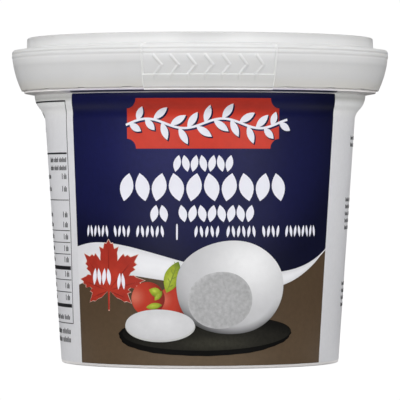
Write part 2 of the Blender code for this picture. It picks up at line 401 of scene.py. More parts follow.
def tub_polypropylene():
    """Injection-moulded polypropylene, filled with titanium white: opaque, with a satin skin that has
    faint flow marks about 5.5 mm across. Its flange carries painted shade and a painted blue reflection of
    the dark print in front and behind, and keeps its own colour only up against the lid; at the sides its
    underside is painted lighter and its upper edge painted darker."""
    made, tree, shader = new_material("tub_polypropylene")
    where = add(tree, "TexCoord").outputs["Object"]
    flow = add(tree, "TexNoise", Vector=where, Scale=1 / (5.556 * MM), Detail=3.0)
    tone = add(tree, "ValToRGB", Fac=flow)
    set_stops(tone, [(0, srgb("#EDE9E8")), (1, srgb("#F2EFEE"))])
    apart = add(tree, "SeparateXYZ", Vector=where)
    height = add(tree, "MapRange", Value=apart.outputs["Z"], From_Min=FLANGE_ROOT * MM,
                 From_Max=FLANGE_TOP * MM)
    # Painted on the flange: over the dark print, shade and a blue reflection of it; at the sides, light on
    # its underside and shade on its upper edge.
    thin = add(tree, "ValToRGB", Fac=height)
    set_stops(thin, FLANGE_SHADE_TONES)
    across = add(tree, "Math", {"operation": "ABSOLUTE"}, in0=apart.outputs["X"])
    aside = add(tree, "MapRange", Value=across, From_Min=PANEL_SIDE * MM, From_Max=(PANEL_SIDE + 3) * MM)
    side_light_and_shade = add(tree, "MapRange", Value=height, From_Min=0.6, From_Max=0.85, To_Min=1.06, To_Max=0.84)
    clear = add(tree, "Mix", {"data_type": "RGBA"}, Factor=aside, in6=thin, in7=side_light_and_shade)
    tint = add(tree, "VectorMath", {"operation": "MULTIPLY"}, in0=tone, in1=clear.outputs[2])
    moulded_skin(tree, shader, where, tint, dimple=0.714, depth=0.1, roughness=0.36)
    return made


def lid_polypropylene(name, tones, milky=0.25):
    """Injection-moulded polypropylene without pigment: milky and slightly see-through. Its tone changes
    with height, as (height, colour) from the foot up, partly for what lies behind the milk and partly as
    painted light and shade: warm at the foot, duller over the hollow under the tub's rim, lighter where the
    white rim backs it, and duller again in the ridge that stands up free. The milk is a little uneven, in
    clouds about 8 mm across."""
    made, tree, shader = new_material(name)
    where = add(tree, "TexCoord").outputs["Object"]
    apart = add(tree, "SeparateXYZ", Vector=where)
    height = add(tree, "MapRange", Value=apart.outputs["Z"], From_Min=LID_FOOT * MM, From_Max=LID_TOP * MM)
    # Painted light and shade by height, together with the milk's own tones.
    tone = add(tree, "ValToRGB", Fac=height)
    set_stops(tone, [((level - LID_FOOT) / (LID_TOP - LID_FOOT), srgb(colour)) for level, colour in tones])
    cloud = add(tree, "TexNoise", Vector=where, Scale=1 / (8.333 * MM), Detail=3.0)
    milk = add(tree, "MapRange", Value=cloud, To_Min=0.97, To_Max=1.03)
    tint = add(tree, "VectorMath", {"operation": "SCALE"}, in0=tone, Scale=milk)
    moulded_skin(tree, shader, where, tint, dimple=1.111, depth=0.08, roughness=0.3)
    shader.inputs["Subsurface Weight"].default_value = milky
    shader.inputs["Subsurface Radius"].default_value = (1.0, 0.95, 0.85)
    shader.inputs["Subsurface Scale"].default_value = 1.2 * MM
    return made


# ---------------------------------------------------------------- tub

# Centres, as (radius, height), of the shoulder's two arcs, and the point where they meet.
WALL_TOP_RADIUS = BASE_RADIUS + WALL_TOP * tan(TAPER)
HOLLOW_CENTRE = (WALL_TOP_RADIUS + HOLLOW * cos(TAPER), WALL_TOP - HOLLOW * sin(TAPER))
MEET_POINT = (HOLLOW_CENTRE[0] - HOLLOW * cos(MEET), HOLLOW_CENTRE[1] + HOLLOW * sin(MEET))
CROWN_CENTRE = (MEET_POINT[0] - CROWN * cos(MEET), MEET_POINT[1] + CROWN * sin(MEET))
ROOT_RADIUS = CROWN_CENTRE[0] + sqrt(CROWN**2 - (CROWN_CENTRE[1] - FLANGE_ROOT) ** 2)


def wall_radius(height):
    """The wall's radius at a height: a cone up to the shoulder, a hollow arc, a crowned one, and then the
    straight slope of the flange's underside."""
    cone = BASE_RADIUS + height * tan(TAPER)
    rise = np.clip(height - HOLLOW_CENTRE[1], 0, HOLLOW)
    hollow = HOLLOW_CENTRE[0] - np.sqrt(HOLLOW**2 - rise**2)
    drop = np.clip(CROWN_CENTRE[1] - height, CROWN_CENTRE[1] - FLANGE_ROOT, CROWN)
    crown = CROWN_CENTRE[0] + np.sqrt(CROWN**2 - drop**2)
    past = np.clip((height - FLANGE_ROOT) / (FLANGE_BOTTOM - FLANGE_ROOT), 0, 1)
    under = crown + past * (FLANGE_RADIUS - ROOT_RADIUS)
    return np.where(height < WALL_TOP, cone, np.where(height < MEET_POINT[1], hollow, under))


def make_tub(material):
    """The pot, solid up to its rim: rim, neck and flange, then the shoulder's two arcs, the wall and the
    sunk base inside its foot ring."""
    under = FLANGE_ROOT - 0.6
    head = rounded([
        (0, RIM_TOP, 0), (RIM_RADIUS, RIM_TOP, 0.6), (RIM_RADIUS, RIM_BOTTOM, 0.4),
        (NECK_RADIUS, NECK_TOP, 0.5), (NECK_RADIUS, FLANGE_TOP, 0.3), (FLANGE_RADIUS, FLANGE_TOP, 0.05),
        (FLANGE_RADIUS, FLANGE_BOTTOM, 0.12), (ROOT_RADIUS, FLANGE_ROOT, 0.05),
        (wall_radius(under), under, 0),
    ])[:-1]
    shoulder_z = np.linspace(under, WALL_TOP, 28)
    shoulder = np.stack([wall_radius(shoulder_z), shoulder_z], -1)
    foot = rounded([
        (wall_radius(2.0), 2.0, 0), (BASE_RADIUS, 0, 0.4), (FOOT_INNER, 0, 0.25),
        (FOOT_INNER - BASE_RECESS, BASE_RECESS, 0.4), (4.0, BASE_RECESS, 0),
        (GATE_RADIUS, BASE_RECESS, 0.15), (GATE_RADIUS - 0.5, BASE_RECESS - GATE_DROP, 0.1),
        (0, BASE_RECESS - GATE_DROP, 0),
    ])
    profile = np.concatenate([head, shoulder, foot])
    tub = piece("tub_body", [turned(profile, TURN_STEPS)], material)
    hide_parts("tub")


# ---------------------------------------------------------------- lid


def skirt_radius(height, inset=0.0):
    """Radius of the skirt's bowed side at a height, or of the surface that lies inset behind it."""
    bow = SKIRT_CURVE - inset
    centre = LID_RADIUS - sqrt(SKIRT_CURVE**2 - (SKIRT_CURVE_Z - SKIRT_TOP) ** 2)
    return centre + np.sqrt(bow**2 - (SKIRT_CURVE_Z - height) ** 2)


def skirt_side(top, bottom, inset, steps):
    """Points down the skirt's bowed side."""
    height = np.linspace(top, bottom, steps)
    return np.stack([skirt_radius(height, inset), height], -1)


def skirt_edge():
    """The skirt's top edge down to its bowed side: a small bead, a groove under it and a flat band with a
    faint step at its foot, as (radius, height, rounding)."""
    end = SIDE_TOP + 0.1
    return [
        (LEDGE_OUTER + 0.08, LEDGE_OUTER_Z, 0.3), (LID_RADIUS, LEDGE_OUTER_Z - 0.6, 0.3),
        (LID_RADIUS - 0.09, 77.5, 0.2), (LID_RADIUS, 77.15, 0.2), (LID_RADIUS - 0.01, 76.8, 0.2),
        (skirt_radius(76.4) - 0.03, 76.4, 0.2), (skirt_radius(76.0), 76.0, 0.1), (skirt_radius(end), end, 0),
    ]


def make_lid(material):
    """The lid: a closed shell turned from its profile, then cut open in front for the tab and nicked round
    its foot."""
    raised = PANEL_TOP + PANEL_RAISE
    over = rounded([
        (0, raised, 0), (1.4, raised, 0.1), (1.9, PANEL_TOP, 0.1),
        (BAND_INNER, PANEL_TOP, 0.2), (BAND_INNER + 0.4, raised, 0.2), (BAND_OUTER - 0.4, raised, 0.2),
        (BAND_OUTER, PANEL_TOP, 0.2), (PANEL_RADIUS, PANEL_TOP, 0.5), (RIDGE_INNER, LID_TOP, 0.6),
        (RIDGE_RADIUS - 0.08, LID_TOP, 0.45), (RIDGE_RADIUS, LEDGE_INNER_Z, 0.5), *skirt_edge(),
    ])
    side = skirt_side(SIDE_TOP, SKIRT_BOTTOM + 0.3, 0.0, 26)
    foot = rounded([
        (*side[-1], 0), (skirt_radius(SKIRT_BOTTOM), SKIRT_BOTTOM, 0.04),
        (skirt_radius(SKIRT_BOTTOM, LID_WALL), SKIRT_BOTTOM, 0.2),
        (skirt_radius(SKIRT_BOTTOM + 0.6, LID_WALL), SKIRT_BOTTOM + 0.6, 0),
    ])[1:]
    bead = rounded([
        (skirt_radius(72.2, LID_WALL), 72.2, 0), (skirt_radius(72.6, LID_WALL), 72.6, 0),
        (45.2, 73.3, 0.3), (skirt_radius(74.0, LID_WALL), 74.0, 0),
        (skirt_radius(SKIRT_TOP - 1.0, LID_WALL), SKIRT_TOP - 1.0, 0),
    ])
    under = rounded([
        (*bead[-1], 0), (LEDGE_OUTER - 0.9, LEDGE_OUTER_Z - 0.9, 0.3),
        (RIDGE_RADIUS - LID_WALL, LEDGE_INNER_Z - LID_WALL, 0.2),
        (RIDGE_RADIUS - LID_WALL, LID_TOP - LID_WALL, 0.3),
        (RIDGE_INNER + LID_WALL, LID_TOP - LID_WALL, 0.3),
        (PANEL_RADIUS + LID_WALL, PANEL_TOP - LID_WALL, 0.3), (0, PANEL_TOP - LID_WALL, 0),
    ])[1:]
    profile = np.concatenate([over, side, foot, bead, under])
    lid = piece("lid_shell", [turned(profile, LID_STEPS)], material)
    half = TAB_HALF + SEAM / LID_RADIUS
    back = TAB_INNER - SEAM
    outer = LID_RADIUS + 2.4     # clear of the lid, as the next two are
    below = LID_FOOT - 1.6
    above = LEDGE_INNER_Z + 1.0
    wedge = np.array([(back, below), (outer, below), (outer, above), (back, above)])
    cuts = [sector(wedge, TAB_TURN, half, 30)]
    nick = np.array([(NECK_RADIUS, below), (outer, below), (outer, NOTCH_TOP), (NECK_RADIUS, NOTCH_TOP)])
    for k in range(NOTCHES):
        place = TAB_TURN + NOTCH_FIRST + k * (2 * pi - 2 * NOTCH_FIRST) / (NOTCHES - 1)
        cuts.append(sector(nick, place, NOTCH_WIDTH / 2 / LID_RADIUS, 1))
    cut_away(lid, cuts)
    lid.data.shade_smooth()
    lid.data.set_sharp_from_angle(angle=CRISP)
    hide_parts("lid")


# ---------------------------------------------------------------- tear-off tab


def hump(distance, width, height):
    """A smooth rib: full height within half its width of its middle line, falling to nothing over a soft
    shoulder as 3 t^2 - 2 t^3."""
    fall = np.clip((width / 2 + STROKE_SHOULDER - distance) / STROKE_SHOULDER, 0, 1)
    return height * fall**2 * (3 - 2 * fall)


def chevron_distance(across, up, half_width, half_height):
    """Distance from a chevron that points to +X: two straight strokes that meet at its tip."""
    up = np.abs(up)
    length = sqrt((2 * half_width) ** 2 + half_height**2)
    along = ((half_width - across) * 2 * half_width + up * half_height) / length**2
    along = np.clip(along, 0, 1)
    return np.hypot(across - half_width + along * 2 * half_width, up - along * half_height)


def make_tab(material):
    """The tab: the ledge's and skirt's own outline with a grip lip, raised by a height field that holds a
    row of chevrons and rounded side edges, and backed by the skirt's inside."""
    lip = LIP_DEPTH
    ledge_z = LEDGE_INNER_Z - 0.11
    outside = np.concatenate([
        rounded([(TAB_INNER, ledge_z, 0), *skirt_edge()]),
        skirt_side(SIDE_TOP, LIP_TOP + 0.25, 0.0, 40),
        rounded([
            (skirt_radius(LIP_TOP + 0.15), LIP_TOP + 0.15, 0), (skirt_radius(LIP_TOP), LIP_TOP, 0.08),
            (skirt_radius(LIP_TOP) + lip, LIP_TOP - 0.15, 0.12), (skirt_radius(70.0) + lip, 70.0, 4.0),
            (skirt_radius(68.7) + lip, 68.7, 0.3), (LIP_OUTER - 0.4, 68.3, 0.12),
            (LIP_OUTER - 0.36, 68.04, 0.06), (LIP_OUTER, 67.95, 0.08), (LIP_OUTER, LIP_BOTTOM + 0.1, 0.06),
            (LIP_OUTER - 0.1, LIP_BOTTOM, 0.05), (LIP_INNER, LIP_BOTTOM, 0.1), (LIP_INNER, SKIRT_BOTTOM, 0),
        ]),
    ])
    inside = np.concatenate([
        skirt_side(SKIRT_BOTTOM, SKIRT_TOP - LID_WALL, LID_WALL, 12),
        [(LEDGE_OUTER - LID_WALL, LEDGE_OUTER_Z - LID_WALL), (TAB_INNER, ledge_z - LID_WALL)],
    ])
    profile = np.concatenate([outside, inside])

    edge = np.array([0, 0.03, 0.08, 0.15, 0.25, 0.35, 0.45, 0.55, 0.65, 0.8, 1.0])
    width = 2 * TAB_HALF * LID_RADIUS
    middle = np.linspace(1.15, width - 1.15, TAB_COLUMNS)
    across = np.concatenate([edge, middle, width - edge[::-1]]) - width / 2
    u, v = np.meshgrid(across, outside[:, 1], indexing="ij")
    side = width / 2 - np.abs(u)
    raised = 0 * u
    for k in range(CHEVRONS):
        place = (k - (CHEVRONS - 1) / 2) * CHEVRON_STEP
        stroke = chevron_distance(u - place, v - CHEVRON_Z, *CHEVRON_HALF)
        raised = np.maximum(raised, hump(stroke, STROKE_WIDTH, STROKE_HEIGHT))
    turn_in = np.clip(SIDE_ROUND - side, 0, SIDE_ROUND)
    raised -= SIDE_ROUND - np.sqrt(SIDE_ROUND**2 - turn_in**2)
    raised[:, outside[:, 1] < LIP_BOTTOM + 0.05] = 0

    offset = np.zeros((len(across), len(profile), 2))
    offset[:, :len(outside)] = raised[..., None] * outward(outside)
    section = profile + offset
    angle = TAB_TURN + across[:, None] / LID_RADIUS
    tab = piece("tear_tab_panel", [swept(round_axis(section[..., 0], section[..., 1], angle))], material)
    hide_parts("tear_tab")


def make_ribs(material):
    """A thin half-round rib over each of the tab's seams, which it tears along: its section follows the
    lid's outline from the foot of the ridge down to the skirt's foot."""
    line = np.concatenate([
        rounded([(LEDGE_INNER + 0.5, LEDGE_INNER_Z, 0), *skirt_edge()]),
        skirt_side(SIDE_TOP, SKIRT_BOTTOM + 0.05, 0.0, 40),
    ])
    turn = np.linspace(0, pi, 9)
    across = np.append(RIB_WIDTH / 2 * np.cos(turn), [-RIB_WIDTH / 2, RIB_WIDTH / 2])
    rise = np.append(RIB_HEIGHT * np.sin(turn), [-RIB_SUNK, -RIB_SUNK])
    section = line[:, None] + rise[None, :, None] * outward(line)[:, None]
    parts = []
    for side in (-1, 1):
        angle = TAB_TURN + side * TAB_HALF + across[None] / LID_RADIUS
        parts.append(swept(round_axis(section[..., 0], section[..., 1], angle)))
    piece("seam_ribs", parts, material)


# ---------------------------------------------------------------- print on the wall

# A printed shape is (points, faces, own places): its points are (u, v), u millimetres round the wall from
# the front towards +X and v millimetres high, and its own places run from -1 to 1 across it.


def wall_point(u, v, lift, turn):
    """The point that lies u round the wall and v high, lift off the wall along its normal, turned round the
    axis from the front by an angle."""
    radius = wall_radius(v)
    lean = (wall_radius(v + 0.01) - wall_radius(v - 0.01)) / 0.02
    out = lift / np.sqrt(1 + lean**2)
    return round_axis(radius + out, v - out * lean, u / radius + turn)


def smooth_line(points, x):
    """A curve through points, each stretch a cubic whose slopes are those between a point's neighbours."""
    px, py = np.array(points, float).T
    slope = np.gradient(py, px)
    i = np.clip(np.searchsorted(px, x) - 1, 0, len(px) - 2)
    step = px[i + 1] - px[i]
    t = (x - px[i]) / step
    return ((1 + 2 * t) * (1 - t) ** 2 * py[i] + t * (1 - t) ** 2 * step * slope[i]
            + t**2 * (3 - 2 * t) * py[i + 1] + t**2 * (t - 1) * step * slope[i + 1])


def span(left, right, low, high, columns, rows):
    """A printed field. Its point (s, t) is t of the way down from high to low and s of the way from left
    to right; left and right may vary with height, and low and high with s."""
    s = columns if isinstance(columns, np.ndarray) else np.linspace(0, 1, columns + 1)
    s, t = np.meshgrid(s, np.linspace(0, 1, rows + 1), indexing="ij")
    v = high(s) * (1 - t) + low(s) * t
    u = left(v) * (1 - s) + right(v) * s
    own = np.stack([2 * s - 1, 1 - 2 * t], -1)
    return np.stack([u, v], -1).reshape(-1, 2), [grid_faces(*s.shape)], own.reshape(-1, 2)


def flat(value):
    """An edge of a printed field that keeps one value all along."""
    return lambda along: value + 0 * along


def box_shape(u1, u2, v1, v2):
    """A printed rectangle between two places round the wall and two heights."""
    return span(flat(u1), flat(u2), flat(v1), flat(v2), max(1, int((u2 - u1) / 1.2)),
                max(1, int((v2 - v1) / 4)))


def star(outline, place=(0, 0), tilt=0.0, rings=4):
    """A printed shape inside a closed outline, which goes counterclockwise and is seen whole from its own
    (0, 0): rings of the outline shrunk towards that middle, tilted and put in place."""
    outline = np.array(outline, float)
    own = outline / np.abs(outline).max(0)
    turn = np.array([(cos(tilt), sin(tilt)), (-sin(tilt), cos(tilt))])
    share = np.linspace(0, 1, rings + 1)[1:, None, None]
    points = np.concatenate([[(0, 0)], (share * outline).reshape(-1, 2)]) @ turn + place
    count = len(outline)
    i = np.arange(count)
    first = np.stack([0 * i, 1 + i, 1 + (i + 1) % count], -1)
    quads = grid_faces(rings, count, close_columns=True)[:, ::-1] + 1
    return points, [first, quads], np.concatenate([[(0, 0)], (share * own).reshape(-1, 2)])


def oval(half_width, half_height, power=2.0, count=48):
    """An outline |x / a|^p + |y / b|^p = 1: an ellipse, or a rounder box as the power grows."""
    angle = np.linspace(0, 2 * pi, count, endpoint=False)
    c, s = np.cos(angle), np.sin(angle)
    size = (np.abs(c) ** power + np.abs(s) ** power) ** (-1 / power)
    return np.stack([half_width * size * c, half_height * size * s], -1)


def leaf(length, width, count=16):
    """A leaf's outline, with its length along x: each side is a bow between its two points."""
    x = np.linspace(1, -1, count // 2 + 1)[:-1]
    side = np.stack([x, 1 - x**2], -1)
    return np.concatenate([side, -side]) * (length / 2, width / 2)


def through(points, steps):
    """A closed outline through points, with straight sides cut into steps."""
    points = np.array(points, float)
    t = np.linspace(0, 1, steps, endpoint=False)[:, None]
    return (points[:, None] * (1 - t) + np.roll(points, -1, 0)[:, None] * t).reshape(-1, 2)


def printed(name, shapes, material, layer, turns=(0.0, pi)):
    """Ink of one colour on the film: shapes laid on the wall, once for each turn round it. Each is a thin
    closed sheet, and each layer lies a step further out than the one under it."""
    lift = FILM + LAYER * layer
    parts = []
    for turn in turns:
        for points, faces, own in shapes:
            u, v = points.T
            both = np.concatenate([wall_point(u, v, lift, turn), wall_point(u, v, lift - INK, turn)])
            parts.append((both, thin_sheet(len(points), faces), np.concatenate([own, own])))
    piece(name, parts, material)


# ---------------------------------------------------------------- label

# The two waves across the front panel, as places on the wall.
NAVY_FOOT = [(-37, 29.2), (-34.7, 29.7), (-31, 30.42), (-27.4, 30.72), (-23.5, 30.55), (-18.6, 29.87),
             (-15.3, 29.15), (-9.1, 27.54), (-3.4, 26.0), (8, 24.0), (17, 23.3), (21.8, 23.7), (24.9, 24.2),
             (28.2, 25.05), (31.9, 26.46), (34, 27.48), (38, 29.85)]
BROWN_HEAD = [(-36, 19.8), (-34.2, 20.36), (-28, 21.7), (-22.5, 22.5), (-18, 22.75), (-15, 22.45),
              (-12.9, 22.14), (-9.8, 21.7), (-6.6, 21.2), (0.7, 20.4), (12, 19.6), (18, 19.5), (21.8, 20.4),
              (24.9, 21.52), (28.25, 23.25), (32, 25.65), (34, 27.2), (36.6, 28.9)]

# Painted light and shade on the white film over the shoulder, by height: a painted shadow under the flange
# and painted light in the hollow.
FILM_SHADE_TONES = [(66.7, "#C8C8C6"), (66.2, "#B8B8B5"), (65.7, "#D0D0CE"), (65.2, "#E8E8E8"), (64.7, "#F8F8F8"),
              (64.0, "#FDFDFD"), (63.2, "#FDFDFD"), (62.7, "#F6F6F6"), (62.2, "#EFEFF0"), (61.3, "#E5E5E7"),
              (60.3, "#E3E3E5")]

PLAQUE = np.array([0.85, 59.7])
STEM_SWAY = 1.15
STEM_WAVE = 18.636       # length of a whole wave of the garland's stem
STEM_HALF = 0.28
GARLAND_LEAVES = 19
GARLAND_STEP = 2.1
GARLAND_FIRST = -18.6
GARLAND_LEAN = radians(52)

# Half of a maple leaf's outline, from its top lobe round to the foot of its stem, in shares of its size.
MAPLE_HALF = [(0.005, 1.02), (0.065, 0.93), (0.125, 0.94), (0.16, 0.8), (0.285, 0.85), (0.24, 0.71),
              (0.25, 0.6), (0.25, 0.5), (0.33, 0.6), (0.41, 0.68), (0.455, 0.61), (0.52, 0.655), (0.6, 0.6),
              (0.8, 0.67), (0.72, 0.53), (0.7, 0.48), (0.76, 0.415), (0.665, 0.355), (0.72, 0.295),
              (0.6, 0.22), (0.56, 0.14), (0.68, 0.155), (0.74, 0.11), (0.96, 0.035), (0.84, -0.02),
              (0.86, -0.08), (0.75, -0.1), (0.75, -0.175), (0.6, -0.15), (0.53, -0.195), (0.61, -0.255),
              (0.52, -0.29), (0.56, -0.4), (0.62, -0.53), (0.5, -0.485), (0.43, -0.5), (0.33, -0.435),
              (0.22, -0.4), (0.03, -0.235), (0.02, -0.71)]
MAPLE_SIZE = (10.6, 9.9)
MAPLE = (-23.95, 21.2)
MAPLE_JOINT = (MAPLE[0], 18.9)   # where its veins meet
# Its veins, each a direction in degrees and a length.
VEINS = [(90, 10.5), (47, 9.6), (133, 9.6), (15, 8.6), (165, 8.6), (-18, 5.4), (-162, 5.4)]

# Rows of leaves: left, right, foot, head, places, the places left out, share filled and lean.
TITLE_ROWS = [
    (-6.6, 8.2, 48.0, 52.0, 7), (-20.7, 22.1, 40.9, 47.6, 10), (-12.4, 13.5, 35.8, 39.9, 11, (2,)),
    (-31.4, -8.6, 32.1, 34.9, 18, (6, 11), 0.6, 0.14), (-1.6, 32.2, 32.1, 34.9, 26, (5, 12, 17), 0.6, 0.14),
]
MAPLE_ROWS = [(-29.3, -23.1, 20.3, 24.3, 4, (), 0.8, 0.12), (-21.4, -19.0, 19.3, 23.2, 2, (), 0.8, 0.12)]


def panel_left(v):
    """The front panel's left edge: straight up the wall, then drawn in a little over the shoulder."""
    return np.interp(v, [1.9, 61.2, 67.2], [-34.48, -36.25, -35.45])


def panel_right(v):
    """The front panel's right edge, which keeps to one angle up the wall."""
    return np.interp(v, [1.9, 61.25, 67.2], [34.81, 38.99, 38.2])


def foot_of_navy(s):
    """The wave along the foot of the navy field."""
    return smooth_line(NAVY_FOOT, panel_left(28) * (1 - s) + panel_right(28) * s)


def head_of_brown(s):
    """The wave along the head of the brown field."""
    return smooth_line(BROWN_HEAD, panel_left(22) * (1 - s) + panel_right(22) * s)


def head_of_navy(s):
    """The navy field's head under the flange, with its two corners rounded."""
    corner = 0.008           # share of the field's half width that each rounding takes
    over = np.clip((np.abs(2 * s - 1) - 1 + corner) / corner, 0, 1)
    return FILM_TOP - 0.09 - 0.3 * (1 - np.sqrt(1 - over**2))


def heading(turn):
    """The step of length 1 in a direction."""
    return np.array([cos(turn), sin(turn)])


def row_of_leaves(left, right, low, high, count, gaps=(), fill=0.86, lean=0.22):
    """A row of upright leaves between two places and two heights, each filling a share of its place and
    leaning to either side in turn; a gap leaves out a leaf's place."""
    step = (right - left) / count
    tall = high - low
    return [star(leaf(tall * 1.04, step * fill), (left + (k + 0.5) * step, (low + high) / 2),
                 pi / 2 + (lean if k % 2 else -lean), 3)
            for k in range(count) if k not in gaps]


def stem(x):
    """Height of the garland's stem over the plaque's middle: a sine of the way along it."""
    return STEM_SWAY * np.sin(2 * pi * x / STEM_WAVE)


def garland(shift=(0.0, 0.0), grow=0.0):
    """A stem that waves along the plaque with leaves on either side in turn, each leaning off it by the
    same angle, all in one drawing: it may be shifted and grown, for its shadow."""
    middle = PLAQUE + np.array(shift)
    x = np.linspace(-19.5, 21.5, 83)
    way = np.arctan(np.gradient(stem(x), x))
    side = np.stack([-np.sin(way), np.cos(way)], -1) * (STEM_HALF + grow)
    line = np.stack([x, stem(x)], -1) + middle
    strip = np.stack([line + side, line - side], 1).reshape(-1, 2)
    shapes = [(strip, [grid_faces(len(x), 2)], 0 * strip)]
    for k in range(GARLAND_LEAVES):
        at = GARLAND_FIRST + k * GARLAND_STEP
        lean = atan2(stem(at + 0.1) - stem(at - 0.1), 0.2)
        tilt = lean + (GARLAND_LEAN if k % 2 else -GARLAND_LEAN)
        long = 4.6 if 2 < k < 16 else 3.7    # shorter towards both ends
        centre = (at, stem(at)) + heading(tilt) * long / 2
        shapes.append(star(leaf(long + 2 * grow, 1.75 + 2 * grow), centre + middle, tilt, 3))
    return shapes


def maple_leaf():
    """A maple leaf: half its outline, mirrored."""
    half = np.array(MAPLE_HALF)
    whole = np.concatenate([half * (-1, 1), half[::-1]])
    return through(whole * MAPLE_SIZE, 3)


def plaque(half_width, half_height, scoop):
    """A plaque's outline: a box whose four corners are scooped out round."""
    turn = np.linspace(0, pi / 2, 9)
    way = np.stack([np.cos(turn), np.sin(turn)], -1) * scoop
    top_right = (half_width, half_height) - way[:, ::-1]
    top = np.linspace(half_width - scoop, -half_width + scoop, 40)[1:-1]
    side = np.linspace(half_height - scoop, scoop - half_height, 16)[1:-1]
    head = np.concatenate([top_right, np.stack([top, half_height + 0 * top], -1),
                           top_right[::-1] * (-1, 1), np.stack([-half_width + 0 * side, side], -1)])
    return np.concatenate([head, -head])


def make_film():
    """The white film right round the wall: a ring that follows the wall from just over the base to just
    under the flange, with its own places from -1 at the base to 1 at its top."""
    # The film is painted: a painted shadow under the flange, painted light in the shoulder's hollow and
    # painted shade darker towards the base.
    film = printed_film("white_in_mould_film", "#E1E1E4", "#DCDCDA", "#D4D4D7", (0, 1), 2.0, 0.03, 1.0, 0.16)
    tones = film.node_tree.nodes["Color Ramp"].color_ramp
    tones.interpolation = "LINEAR"
    for height, colour in FILM_SHADE_TONES:
        tones.elements.new(1 - height / FILM_TOP).color = srgb(colour)
    heights = np.concatenate([np.linspace(FILM_TOP, 60.5, 26), [45.0, 30.0, 15.0, FILM_BOTTOM]])
    out = np.stack([wall_radius(heights) + FILM, heights], -1)
    back = np.stack([wall_radius(heights) - FILM, heights], -1)[::-1]
    angle = np.linspace(0, 2 * pi, TURN_STEPS, endpoint=False)[:, None]
    ring = np.concatenate([out, back])
    points = round_axis(ring[None, :, 0], ring[None, :, 1], angle)
    own = np.stack([0 * points[..., 2], 2 * points[..., 2] / FILM_TOP - 1], -1).reshape(-1, 2)
    faces = grid_faces(TURN_STEPS, len(ring), close_rows=True, close_columns=True)
    piece("label_film", [(points, [faces], own)], film)


def make_panel():
    """The front panel, which the back repeats: navy over a white wave over brown, a navy strip on the
    flange's underside that is painted shade and a painted reflection of the print, a red plaque with a
    garland, rows of leaves and a maple leaf."""
    # Navy: a flat ink with a painted highlight left of the middle and painted shade towards the sides.
    navy = printed_film("navy_gravure_ink", "#101342", "#181B56", "#050725", (-0.25, 0.3), 1.5, 0.12, 1.2,
                        0.55)
    # Brown: a flat ink painted lighter at the middle of its foot and darker away from it, as painted light.
    brown = printed_film("brown_gravure_ink", "#544330", "#5F4F3C", "#503F2D", (0.0, -0.9), 1.5, 0.1, 1.2)
    # Red: a flat ink with painted shade towards its top, under the flange.
    red = printed_film("red_gravure_ink", "#CF3C2B", "#CF3C2B", "#B43124", (0, -2), 3.0, 0.06, 2.0, 0.72)
    white = printed_film("white_gravure_ink", "#EDEDF6", mottle=0.02)
    # The wave's white: painted light in its middle and painted shade towards its ends.
    wave = printed_film("wave_gravure_ink", "#EDEDF0", "#F4F4F6", "#DEDEE1", (0, 0), 1.1, 0.02, 2.0, 0.5)
    maple = printed_film("maple_gravure_ink", "#A82E20", "#B83826", "#8E2418", mottle=0.16, patch=3.0)
    vein = printed_film("vein_gravure_ink", "#8A2216", mottle=0.1)
    cream = printed_film("cream_gravure_ink", "#E2C6B6", mottle=0.1, patch=0.6)

    edge = np.array([0, 0.001, 0.002, 0.004, 0.01, 0.02, 0.03])
    across = np.concatenate([edge, np.linspace(0.045, 0.955, 84), 1 - edge[::-1]])
    foot = flat(FILM_BOTTOM + 0.05)
    for name, low, high, rows, ink in (
            ("navy_field", foot_of_navy, head_of_navy, 96, navy),
            ("white_field", head_of_brown, foot_of_navy, 8, wave),
            ("brown_field", foot, head_of_brown, 12, brown),
            # A navy strip on the flange's underside: painted shade and a painted reflection of the print.
            ("navy_shade_strip", flat(67.52), flat(67.78), 1, navy)):
        printed(name, [span(panel_left, panel_right, low, high, across, rows)], ink, 1)
    printed("red_plaque", [star(plaque(19.2, 6.1, 2.4), PLAQUE, 0, 24)], red, 2)
    printed("garland_shadow", garland((0.28, -0.3), 0.1), navy, 3)
    printed("garland", garland(), white, 4)

    rows = [leaves for row in TITLE_ROWS for leaves in row_of_leaves(*row)]
    rows.append(star(oval(0.22, 1.95, 4, 24), (-5.6, 33.4)))
    printed("print_rows", rows, white, 2)

    printed("maple_edge", [star(maple_leaf() * 1.025, MAPLE, 0, 10)], cream, 2)
    printed("maple_leaf", [star(maple_leaf(), MAPLE, 0, 10)], maple, 3)
    veins = []
    for degrees, long in VEINS:
        turn = radians(degrees)
        veins.append(star(leaf(long, 0.28), MAPLE_JOINT + heading(turn) * (long / 2 + 0.15), turn, 2))
    printed("maple_veins", veins, vein, 4)
    printed("leaf_marks", [leaves for row in MAPLE_ROWS for leaves in row_of_leaves(*row)], white, 5)


# ---------------------------------------------------------------- printed serving

BASIL = (-6.7, 22.4)     # middle of the largest basil leaf
BASIL_TURN = 1.2


